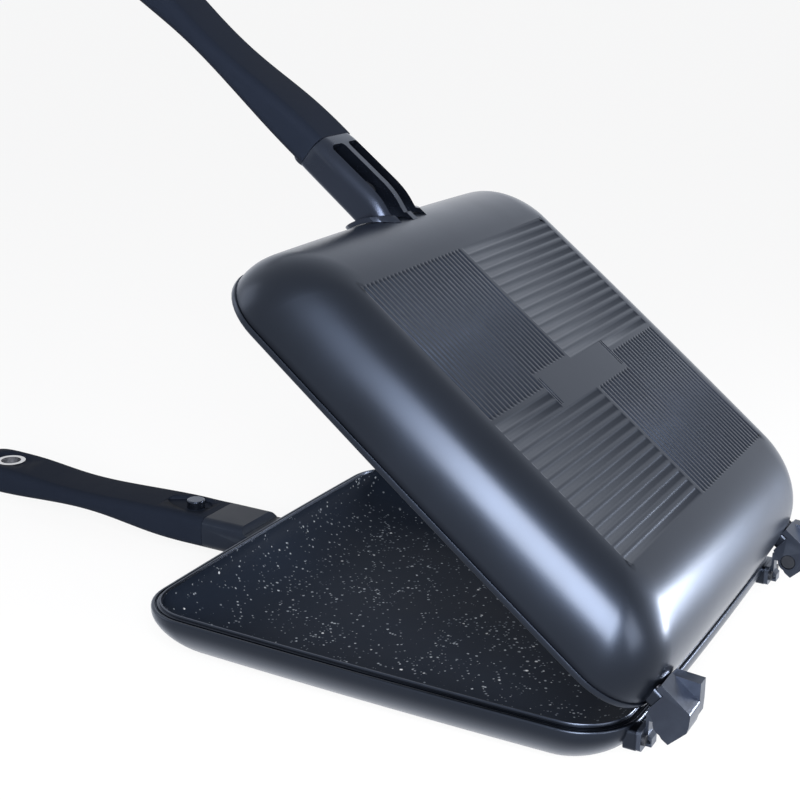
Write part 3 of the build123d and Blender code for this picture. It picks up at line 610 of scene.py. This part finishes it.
def groove_tree():
    """Geometry nodes of one field of grooves that run along Y and repeat along X."""
    tree = bpy.data.node_groups.new("groove field", "GeometryNodeTree")
    sockets = (
        ("Geometry", "NodeSocketGeometry", None),
        ("Count", "NodeSocketInt", 10),
        ("Pitch", "NodeSocketFloat", 3.0),
        ("Length", "NodeSocketFloat", 50.0),
        ("Groove Width", "NodeSocketFloat", 1.5),
        ("Groove Depth", "NodeSocketFloat", 0.6),
        ("Flatness", "NodeSocketFloat", 1.5),
        ("End Margin", "NodeSocketFloat", 0.3),
        ("End Ramp", "NodeSocketFloat", 2.0),
        ("Material", "NodeSocketMaterial", None),
    )
    for label, kind, value in sockets:
        socket = tree.interface.new_socket(label, in_out="INPUT", socket_type=kind)
        if value is not None:
            socket.default_value = value
    tree.interface.new_socket("Geometry", in_out="OUTPUT", socket_type="NodeSocketGeometry")
    given = tree.nodes.new("NodeGroupInput").outputs
    end = tree.nodes.new("NodeGroupOutput")

    def maths(operation, *values):
        node = add(tree, "ShaderNodeMath", operation=operation, sockets=dict(enumerate(values)))
        return node.outputs[0]

    def stretched(value, start, finish, length):
        ranges = {0: value, 1: start, 2: finish, 3: 0.0, 4: length}
        return add(tree, "ShaderNodeMapRange", sockets=ranges).outputs[0]

    strip = add(
        tree, "GeometryNodeMeshGrid",
        sockets={"Size X": 2.0, "Size Y": 2.0, "Vertices X": 11, "Vertices Y": 9},
    )
    position = add(tree, "GeometryNodeInputPosition")
    at = add(tree, "ShaderNodeSeparateXYZ", sockets={0: position.outputs[0]})
    across, along = maths("ABSOLUTE", at.outputs[0]), maths("ABSOLUTE", at.outputs[1])
    # across the strip: four fifths of the points shape the groove, the last is the ridge's middle
    reach = maths("MINIMUM", maths("DIVIDE", across, 0.8), 1.0)
    ridge = maths("MULTIPLY", maths("SUBTRACT", given["Pitch"], given["Groove Width"]), 0.5)
    on_ridge = maths("MULTIPLY", maths("GREATER_THAN", across, 0.9), ridge)
    in_groove = maths("MULTIPLY", maths("MULTIPLY", reach, given["Groove Width"]), 0.5)
    x = maths("MULTIPLY", maths("SIGN", at.outputs[0]), maths("ADD", in_groove, on_ridge))
    # along the strip: a level margin at each end, a ramp and the groove's full depth between
    half = maths("MULTIPLY", given["Length"], 0.5)
    ramp_end = maths("SUBTRACT", half, given["End Margin"])
    ramp_start = maths("SUBTRACT", ramp_end, given["End Ramp"])
    inner = stretched(along, 0.0, 0.25, ramp_start)
    middle = stretched(along, 0.25, 0.75, given["End Ramp"])
    outer = stretched(along, 0.75, 1.0, given["End Margin"])
    run = maths("ADD", maths("ADD", inner, middle), outer)
    y = maths("MULTIPLY", maths("SIGN", at.outputs[1]), run)
    full = add(
        tree, "ShaderNodeMapRange", interpolation_type="SMOOTHSTEP",
        sockets={0: along, 1: 0.25, 2: 0.75, 3: 1.0, 4: 0.0},
    )
    wave = maths("COSINE", maths("MULTIPLY", maths("POWER", reach, given["Flatness"]), pi))
    share = maths("MULTIPLY", maths("ADD", wave, 1.0), 0.5)
    drop = maths("MULTIPLY", maths("MULTIPLY", share, full.outputs[0]), given["Groove Depth"])
    place = add(tree, "ShaderNodeCombineXYZ", sockets={0: x, 1: y, 2: maths("MULTIPLY", drop, -1.0)})
    shaped = add(
        tree, "GeometryNodeSetPosition",
        sockets={"Geometry": strip.outputs["Mesh"], "Position": place.outputs[0]},
    )
    first = add(tree, "ShaderNodeCombineXYZ", sockets={0: maths("MULTIPLY", given["Pitch"], 0.5)})
    step = add(tree, "ShaderNodeCombineXYZ", sockets={0: given["Pitch"]})
    row = add(
        tree, "GeometryNodeMeshLine",
        sockets={"Count": given["Count"], "Start Location": first.outputs[0], "Offset": step.outputs[0]},
    )
    repeated = add(
        tree, "GeometryNodeInstanceOnPoints",
        sockets={"Points": row.outputs[0], "Instance": shaped.outputs[0]},
    )
    real = add(tree, "GeometryNodeRealizeInstances", sockets={0: repeated.outputs[0]})
    merged = add(
        tree, "GeometryNodeMergeByDistance", sockets={"Geometry": real.outputs[0], "Distance": 0.001}
    )
    finished = add(
        tree, "GeometryNodeSetMaterial",
        sockets={"Geometry": merged.outputs[0], "Material": given["Material"]},
    )
    tree.links.new(finished.outputs[0], end.inputs[0])
    return tree


GROOVES = groove_tree()


def evaluated_mesh(obj):
    """The plain mesh that an object's modifiers make."""
    bpy.context.view_layer.update()
    graph = bpy.context.evaluated_depsgraph_get()
    return bpy.data.meshes.new_from_object(obj.evaluated_get(graph), depsgraph=graph)


def made_by_nodes(tree, values):
    """The plain mesh that a geometry node tree makes from named inputs."""
    holder = bpy.data.objects.new("holder", bpy.data.meshes.new("holder"))
    bpy.context.scene.collection.objects.link(holder)
    modifier = holder.modifiers.new("form", "NODES")
    modifier.node_group = tree
    for item in tree.interface.items_tree:
        if item.in_out == "INPUT" and item.name in values:
            modifier[item.identifier] = values[item.name]
    mesh = evaluated_mesh(holder)
    for polygon in mesh.polygons:
        polygon.material_index = 0
    bpy.data.objects.remove(holder)
    return mesh


def groove_fields(half):
    """Fields of a pan's face: groove settings, lowest corner, and whether they run along X."""
    panel_y = half[2] / 2 - half[6] - PANEL_MARGIN
    edge = FIELD_GAP / 2
    fine_pitch = (panel_y - edge) / FINE_COUNT
    broad_pitch = (PANEL_X - edge) / BROAD_COUNT
    fields = []
    for quarter in (-1, 1):
        beside = round((PLATE_Y + edge) / fine_pitch)
        plate_end = PLATE_X + quarter * PLATE_SHIFT + FIELD_GAP
        for first, count, start in ((0, beside, plate_end), (beside, FINE_COUNT - beside, edge)):
            row = {"Count": count, "Pitch": fine_pitch - FIELD_PART / count, "Length": PANEL_X - start}
            near, far = edge + first * fine_pitch, edge + (first + count) * fine_pitch
            low_x = start if quarter > 0 else -PANEL_X
            low_y = near if quarter > 0 else -far
            fields.append((row | FINE_GROOVE, low_x, low_y, True))
        beside = round((PLATE_X - quarter * PLATE_SHIFT) / broad_pitch)
        plate_end = PLATE_Y + FIELD_GAP
        for first, count, start in ((0, beside, plate_end), (beside, BROAD_COUNT - beside, edge)):
            row = {"Count": count, "Pitch": broad_pitch - FIELD_PART / count, "Length": panel_y - start}
            row |= {"Groove Width": broad_pitch - RIDGE_WIDTH}
            near, far = edge + first * broad_pitch, edge + (first + count) * broad_pitch
            low_x = -far if quarter > 0 else near
            low_y = start if quarter > 0 else -panel_y
            fields.append((row | BROAD_GROOVE, low_x, low_y, False))
    for end in (-1, 1):
        row = {"Count": 2, "Pitch": PLATE_LINE_PITCH, "Length": 2 * (PLATE_X - PLATE_LINE_INSET)}
        low_x = PLATE_SHIFT - PLATE_X + PLATE_LINE_INSET
        fields.append((row | PLATE_LINE, low_x, end * PLATE_Y - PLATE_LINE_PITCH, True))
    return fields


def rounded_rectangle(width, height, radius):
    """Points round a rectangle with round corners, centred on zero."""
    points = []
    for right, up, start in ((1, 1, 0), (-1, 1, 90), (-1, -1, 180), (1, -1, 270)):
        centre_x, centre_y = right * (width / 2 - radius), up * (height / 2 - radius)
        for n in range(RECTANGLE_STEPS + 1):
            angle = radians(start + 90 * n / RECTANGLE_STEPS)
            points.append((centre_x + radius * cos(angle), centre_y + radius * sin(angle)))
    return points


def add_pad(bm, pad, side):
    """A low pad on the wall at the hinge end, which a lug or block seats on."""
    x, aside, z, width, height = pad
    y = side * HINGE_Y + aside
    loops = []
    for level, shrink in ((x - PAD_DEPTH, 0.0), (x - PAD_EDGE, 0.0), (x, PAD_EDGE)):
        ring = rounded_rectangle(width - 2 * shrink, height - 2 * shrink, PAD_ROUND)
        loops.append([bm.verts.new((level, y + a, z + b)) for a, b in ring])
    for low, high in zip(loops, loops[1:]):
        for n in range(len(low)):
            bm.faces.new((low[n], low[n - 1], high[n - 1], high[n]))
    bm.faces.new(loops[-1])
    bm.faces.new(reversed(loops[0]))


def make_pan(half, pad):
    """A pan in one closed skin: grooved face, shoulders, rim, hollow and floor, with its two pads."""
    way, rim, depth = half[0], half[3], half[4]
    face_z = rim + way * depth
    bm = bmesh.new()
    loops = []
    for length, width, radius, height, inside in pan_profile(half):
        loops.append(([bm.verts.new(p) for p in outline(length, width, radius, height)], inside))
    for (outer, _), (inner, inside) in zip(loops, loops[1:]):
        for n in range(len(outer)):
            skin = bm.faces.new((outer[n - 1], outer[n], inner[n], inner[n - 1]))
            skin.material_index = 1 if inside else 0
    bm.faces.new(loops[-1][0]).material_index = 1
    for settings, low_x, low_y, along_x in groove_fields(half):
        mesh = made_by_nodes(GROOVES, settings | {"Material": pan_paint})
        long, wide = settings["Length"], settings["Count"] * settings["Pitch"]
        move = Matrix.Translation((low_x, low_y + long / 2, 0))
        if along_x:
            move = Matrix.Translation((low_x + long / 2, low_y + wide, 0))
            move @= Matrix.Rotation(radians(-90), 4, "Z")
        turned = Matrix.Diagonal((1, 1, way, 1))
        mesh.transform(Matrix.Translation((0, 0, face_z)) @ turned @ move)
        bm.from_mesh(mesh)
        bpy.data.meshes.remove(mesh)
    bm.edges.ensure_lookup_table()
    border = [e for e in bm.edges if len(e.link_faces) == 1]
    filled = bmesh.ops.triangle_fill(
        bm, use_beauty=True, use_dissolve=False, edges=border, normal=(0, 0, way)
    )
    for face in filled["geom"]:
        if isinstance(face, bmesh.types.BMFace):
            face.material_index = 0
    bmesh.ops.recalc_face_normals(bm, faces=bm.faces)
    for side in (-1, 1):
        add_pad(bm, pad, side)
    return bm


def part_mesh(*nodes):
    """The part's pieces of some nodes in one mesh, in metres, with their points merged."""
    bm = bmesh.new()
    for node in nodes:
        bm.from_mesh(frame["nodes"][node].data)
    bmesh.ops.remove_doubles(bm, verts=bm.verts, dist=MERGE_DISTANCE * MM)
    return bm


def soften(obj, width, angle):
    """Rounds an object's edges that are sharper than an angle in degrees."""
    softened = obj.modifiers.new("softened", "BEVEL")
    softened.width = width * MM
    softened.segments = 2
    softened.limit_method = "ANGLE"
    softened.angle_limit = radians(angle)
    return softened


def finished_copy(node, bevel, name, material):
    """A copy of the part's piece with flat faces joined up and, with a bevel, softened edges."""
    bm = part_mesh(node)
    bmesh.ops.dissolve_limit(bm, angle_limit=radians(FLAT_ANGLE), verts=bm.verts, edges=bm.edges)
    bmesh.ops.scale(bm, vec=(1 / MM, 1 / MM, 1 / MM), verts=bm.verts)
    obj = mesh_object(bm, name, [material])
    if bevel:
        soften(obj, bevel, COPY_SOFT_ANGLE).harden_normals = True
        mesh = evaluated_mesh(obj)
        obj.modifiers.clear()
        obj.data = mesh
        mesh.name = name
    return obj


def solid(name, rings, materials=()):
    """A closed solid through rings of points, with both ends filled."""
    bm = bmesh.new()
    loops = [[bm.verts.new(point) for point in ring] for ring in rings]
    for low, high in zip(loops, loops[1:]):
        for n in range(len(low)):
            bm.faces.new((low[n - 1], low[n], high[n], high[n - 1]))
    for end in (loops[0], loops[-1]):
        bm.faces.new(end)
    bmesh.ops.recalc_face_normals(bm, faces=bm.faces)
    return mesh_object(bm, name, materials)


def shaped(body, tools, bevel):
    """Joins solids to a body or cuts them from it in turn, then softens its edges."""
    for operation, tool in tools:
        step = body.modifiers.new("step", "BOOLEAN")
        step.operation = operation
        step.solver = "EXACT"
        step.object = tool
    if bevel:
        welded = body.modifiers.new("welded", "WELD")
        welded.merge_threshold = WELD_DISTANCE * MM
        soften(body, bevel, CUT_SOFT_ANGLE)
    mesh = evaluated_mesh(body)
    mesh.name = body.name
    mesh.shade_smooth()
    mesh.set_sharp_from_angle(angle=radians(CUT_SHARP_ANGLE))
    body.modifiers.clear()
    body.data = mesh
    for _, tool in tools:
        bpy.data.objects.remove(tool)
    for polygon in mesh.polygons:
        polygon.material_index = 0
    return body


def outside_form(half, margin):
    """The outside of a pan as a plain solid, larger all round by a margin."""
    way, length, width, rim, depth, shoulder_x, shoulder_y = half
    rings = [outline(length + 2 * margin, width + 2 * margin, CORNER_RADIUS + margin, rim)]
    for step in range(WALL_STEPS + 1):
        angle = radians(90 * step / WALL_STEPS)
        share = 1 - cos(angle)
        rings.append(
            outline(
                length + 2 * margin - 2 * shoulder_x * share,
                width + 2 * margin - 2 * shoulder_y * share,
                CORNER_RADIUS + (FACE_CORNER_RADIUS - CORNER_RADIUS) * share + margin,
                rim + way * (RIM_BAND + (depth - RIM_BAND + margin) * sin(angle)),
            )
        )
    return solid("outside form", rings)


def bracket_section(x, inner, outer):
    """Points round the upper bracket at x, between its inner face and its crowned outer one."""
    points = []
    corners = (
        (1, 1, outer, BRACKET_CROWN, 0), (-1, 1, outer, BRACKET_CROWN, 90),
        (-1, -1, inner, BRACKET_INNER_ROUND, 180), (1, -1, inner, BRACKET_INNER_ROUND, 270),
    )
    for across, up, z, radius, start in corners:
        for n in range(BRACKET_CORNER_STEPS + 1):
            angle = radians(start + 90 * n / BRACKET_CORNER_STEPS)
            y = across * BRACKET_HALF_WIDTH - across * radius + radius * cos(angle)
            points.append((x, y, z - up * radius + radius * sin(angle)))
    return points


def upper_bracket():
    """The upper bracket: a crowned block that curves down to the pan, with two channels and a foot."""
    sections = [bracket_section(*station) for station in BRACKET_LINE]
    body = solid("upper_bracket_cast", sections, [bracket_paint])
    foot_ring = rounded_rectangle(FOOT_WIDTH, FOOT_LENGTH, FOOT_WIDTH / 4)
    foot = solid("foot", [[(x, a, FOOT_HEIGHT + b) for a, b in foot_ring] for x in FOOT_X])
    foot = shaped(foot, [("INTERSECT", outside_form(UPPER, FOOT_THICKNESS))], 0.0)
    tools = [("UNION", foot), ("DIFFERENCE", outside_form(UPPER, -WALL_OVERLAP))]
    for side in (-1, 1):
        middle_y = side * (CHANNEL_START + CHANNEL_END) / 2
        for low_x, high_x, floor_z in CHANNEL_PARTS:
            middle_x = (low_x + high_x) / 2
            ring = rounded_rectangle(high_x - low_x, CHANNEL_END - CHANNEL_START, CHANNEL_ROUND)
            rings = [[(middle_x + a, middle_y + b, z) for a, b in ring] for z in (floor_z, CHANNEL_TOP)]
            tools.append(("DIFFERENCE", solid("channel", rings)))
    body = shaped(body, tools, SOFT_EDGE)
    body.data.transform(OPENED)
    return body


def prism(name, profile, low_y, high_y, materials=()):
    """A solid with a profile of X and Z, between two places along Y."""
    return solid(name, [[(x, y, z) for x, z in profile] for y in (low_y, high_y)], materials)


def arc(centre, radius, start, end, steps):
    """Points along an arc of X and Z, by angles in degrees."""
    turn = [radians(start + (end - start) * n / steps) for n in range(steps + 1)]
    return [(centre[0] + radius * cos(a), centre[1] + radius * sin(a)) for a in turn]


def hinge_block(side, hand):
    """A hinge block: a channel with cheeks, a nose that curls down past the pin, and a fin."""
    low_y = side * HINGE_Y - BLOCK_WIDTH / 2
    high_y = low_y + BLOCK_WIDTH
    plate_end = [(PAD_X, PLATE_UNDERSIDE), (PLATE_ROOT, PLATE_UNDERSIDE), (PLATE_ROOT, BLOCK_TOP)]
    nose = arc(NOSE_CENTRE, NOSE_RADIUS, 90, 45, 3)
    profile = [BLOCK_HEEL, *plate_end, *nose, *END_WALL, *arc(PIN, CHEEK_ROUND, -75, -150, 6)]
    body = prism(f"hinge_block_{hand}_cast", profile, low_y, high_y, [hinge_paint])
    fin = prism("fin", FIN_PROFILE, high_y - FIN_OVERLAP, high_y + FIN_THICKNESS)
    low_cheek, high_cheek = (INNER_CHEEK, OUTER_CHEEK) if side > 0 else (OUTER_CHEEK, INNER_CHEEK)
    hollow = prism("hollow", HOLLOW_PROFILE, low_y + low_cheek, high_y - high_cheek)
    inboard_y = side * (HINGE_Y - BLOCK_WIDTH / 2)
    bore_end = inboard_y + side * (BLOCK_WIDTH - BLIND_SKIN)
    seat_end = inboard_y + side * PIN_SEAT_DEPTH
    bore = prism("bore", arc(PIN, PIN_BORE_RADIUS, 0, 345, 23), inboard_y - side, bore_end)
    seat = prism("seat", arc(PIN, PIN_SEAT_RADIUS, 0, 348, 29), inboard_y - side, seat_end)
    tools = [("UNION", fin), ("DIFFERENCE", hollow), ("DIFFERENCE", bore), ("DIFFERENCE", seat)]
    body = shaped(body, tools, SOFT_EDGE)
    body.data.transform(OPENED)
    return body


def short_post():
    """The upper grip's post with its magnet, drawn up so that it stays behind the grip's side."""
    bm = part_mesh("upper_magnet_post", "upper_magnet")
    bmesh.ops.transform(bm, matrix=OPENED.inverted(), verts=bm.verts)
    for point in bm.verts:
        if point.co.z < POST_ROOT * MM:
            point.co.z += POST_LIFT * MM
    bmesh.ops.transform(bm, matrix=OPENED, verts=bm.verts)
    bmesh.ops.scale(bm, vec=(1 / MM, 1 / MM, 1 / MM), verts=bm.verts)
    return mesh_object(bm, "upper_magnet_post_cup", [bracket_paint])


def put(obj, body, slot, *nodes):
    """Lets a piece ride on its body and stand for its nodes."""
    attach(obj, body)
    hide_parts(*nodes)


# Pans
lower_pan = mesh_object(make_pan(LOWER, LUG_PAD), "lower_pan_skin", [pan_paint, coating])
put(lower_pan, "lower_half", "pan_paint", "lower_pan")
upper_pan = mesh_object(make_pan(UPPER, BLOCK_PAD), "upper_pan_skin", [pan_paint, coating])
upper_pan.data.transform(OPENED)
put(upper_pan, "upper_half", "pan_paint", "upper_pan")

# Handles, hinges and fittings
# the lower bracket takes the bracket paint darkened as painted shade
bracket = finished_copy(
    "lower_bracket", LOWER_BRACKET_EDGE, "lower_bracket_cast", shaded_bracket_paint
)
put(bracket, "lower_half", "bracket_paint", "lower_bracket")
put(upper_bracket(), "upper_half", "bracket_paint", "upper_bracket")
put(short_post(), "upper_half", "post_metal", "upper_magnet_post", "upper_magnet")
for side, hand in ((-1, "right"), (1, "left")):
    put(hinge_block(side, hand), "upper_half", "hinge_casting", f"hinge_block_{hand}")
for half in ("lower", "upper"):
    grip = finished_copy(f"{half}_grip", 0.0, f"{half}_grip_skin", grip_skin)
    put(grip, f"{half}_half", "grip_soft_touch", f"{half}_grip")

# Pieces that keep the part's own mesh, by what their names hold; the first that fits counts
# screws and hinge pins take steel darkened as painted shade of the channels and holes they sit in
CARRIED = (
    ("_screws", shaded_steel), ("_bolt", steel), ("hinge_pin", shaded_steel), ("eyelet", eyelet_steel),
    ("magnet_post", bracket_paint), ("magnet", magnet_metal), ("hinge_lug", hinge_paint),
)
for name, node in frame["nodes"].items():
    for part, material in CARRIED:
        if part in name:
            node.data.materials.clear()
            node.data.materials.append(material)
            break

# Floor: to the camera and in reflections it is nearly as white as the backdrop
floor_material, floor_tree, floor_surface, _ = new_material("pale floor")
floor_surface.inputs["Base Color"].default_value = (0.86, 0.86, 0.87, 1)
floor_surface.inputs["Roughness"].default_value = 0.7
floor_surface.inputs["Specular IOR Level"].default_value = 0.1
floor_out = next(n for n in floor_tree.nodes if n.type == "OUTPUT_MATERIAL")


def any_ray(tree):
    """One where a ray comes from the camera, a gloss or a clear body."""
    rays = add(tree, "ShaderNodeLightPath").outputs
    first = add(
        tree, "ShaderNodeMath", operation="MAXIMUM",
        sockets={0: rays["Is Camera Ray"], 1: rays["Is Glossy Ray"]},
    )
    either = add(
        tree, "ShaderNodeMath", operation="MAXIMUM",
        sockets={0: first.outputs[0], 1: rays["Is Transmission Ray"]},
    )
    return either.outputs[0]


shown = add(
    floor_tree, "ShaderNodeMath", operation="MULTIPLY", sockets={0: any_ray(floor_tree), 1: 0.88}
)
white = add(floor_tree, "ShaderNodeEmission", sockets={"Color": (1, 1, 1, 1), "Strength": 1.0})
mixed = add(
    floor_tree, "ShaderNodeMixShader",
    sockets={0: shown.outputs[0], 1: floor_surface.outputs[0], 2: white.outputs[0]},
)
floor_tree.links.new(mixed.outputs[0], floor_out.inputs[0])
FLOOR_HALF_SIZE = 30000
FLOOR_DROP = 0.3
bm = bmesh.new()
bmesh.ops.create_grid(bm, x_segments=2, y_segments=2, size=FLOOR_HALF_SIZE)
bmesh.ops.translate(bm, vec=(0, 0, -FLOOR_DROP), verts=bm.verts)
floor = mesh_object(bm, "floor", [floor_material])

# World
world = bpy.data.worlds.new("studio")
bpy.context.scene.world = world
world.use_nodes = True
sky_tree = world.node_tree
sky_tree.nodes.clear()
sky_out = sky_tree.nodes.new("ShaderNodeOutputWorld")
ambient = add(
    sky_tree, "ShaderNodeBackground", sockets={"Color": (0.9, 0.93, 1.0, 1), "Strength": 0.4}
)
backdrop = add(sky_tree, "ShaderNodeBackground", sockets={"Color": (1, 1, 1, 1), "Strength": 1.0})
sky_mix = add(
    sky_tree, "ShaderNodeMixShader",
    sockets={0: any_ray(sky_tree), 1: ambient.outputs[0], 2: backdrop.outputs[0]},
)
sky_tree.links.new(sky_mix.outputs[0], sky_out.inputs[0])


# Lights, in metres and watts

def softbox(name, target, direction, distance, size, power):
    """A rectangular area lamp that faces its target, sized along the open half and across it."""
    lamp = bpy.data.lights.new(name, "AREA")
    lamp.shape = "RECTANGLE"
    lamp.size, lamp.size_y = size
    lamp.energy = power
    obj = bpy.data.objects.new(name, lamp)
    bpy.context.scene.collection.objects.link(obj)
    towards = Vector(direction).normalized()
    along = Vector((cos(OPENING), 0, -sin(OPENING)))
    across = towards.cross(along).normalized()
    along = across.cross(towards)
    turn = Matrix((along, across, towards)).transposed().to_4x4()
    obj.matrix_world = Matrix.Translation(Vector(target) + distance * towards) @ turn


# name, target, direction towards the lamp, distance, size and power
LIGHTS = (
    ("key light", (0.23, -0.1, -0.02), (0.17, -0.82, 0.53), 0.8, (0.36, 0.5), 18.0),
    ("hinge light", (0.12, 0.0, 0.05), (0.75, 0.66, -0.03), 0.5, (0.3, 0.08), 6.0),
    ("left light", (-0.15, 0.0, 0.1), (-0.85, -0.35, 0.4), 1.0, (0.5, 0.5), 1.2),
    ("right light", (0.12, -0.1, 0.03), (0.9, -0.35, 0.25), 0.8, (0.4, 0.4), 3.5),
)
for light in LIGHTS:
    softbox(*light)

# Camera, at the photograph's viewing angle: radians, metres, and millimetres for its lens
CAMERA_AZIMUTH = 0.49502
CAMERA_ELEVATION = 0.3049
CAMERA_ROLL = 0.01706
CAMERA_DISTANCE = 0.69223
CAMERA_RIGHT = -0.03292
CAMERA_UP = 0.10174
CAMERA_LENS = 67.216
CAMERA_SENSOR = 36.0
CAMERA_NEAR = 0.01

back = Vector((
    sin(CAMERA_AZIMUTH) * cos(CAMERA_ELEVATION),
    -cos(CAMERA_AZIMUTH) * cos(CAMERA_ELEVATION),
    sin(CAMERA_ELEVATION),
))
level_right = Vector((0, 0, 1)).cross(back).normalized()
level_up = back.cross(level_right)
right = cos(CAMERA_ROLL) * level_right + sin(CAMERA_ROLL) * level_up
up = cos(CAMERA_ROLL) * level_up - sin(CAMERA_ROLL) * level_right
camera_data = bpy.data.cameras.new("camera")
camera_data.lens = CAMERA_LENS
camera_data.sensor_width = CAMERA_SENSOR
camera_data.clip_start = CAMERA_NEAR
camera = bpy.data.objects.new("camera", camera_data)
bpy.context.scene.collection.objects.link(camera)
turn = Matrix((right, up, back)).transposed().to_4x4()
spot = CAMERA_RIGHT * right + CAMERA_UP * up + CAMERA_DISTANCE * back
camera.matrix_world = Matrix.Translation(spot) @ turn
bpy.context.scene.camera = camera
bpy.context.scene.view_settings.view_transform = "Standard"
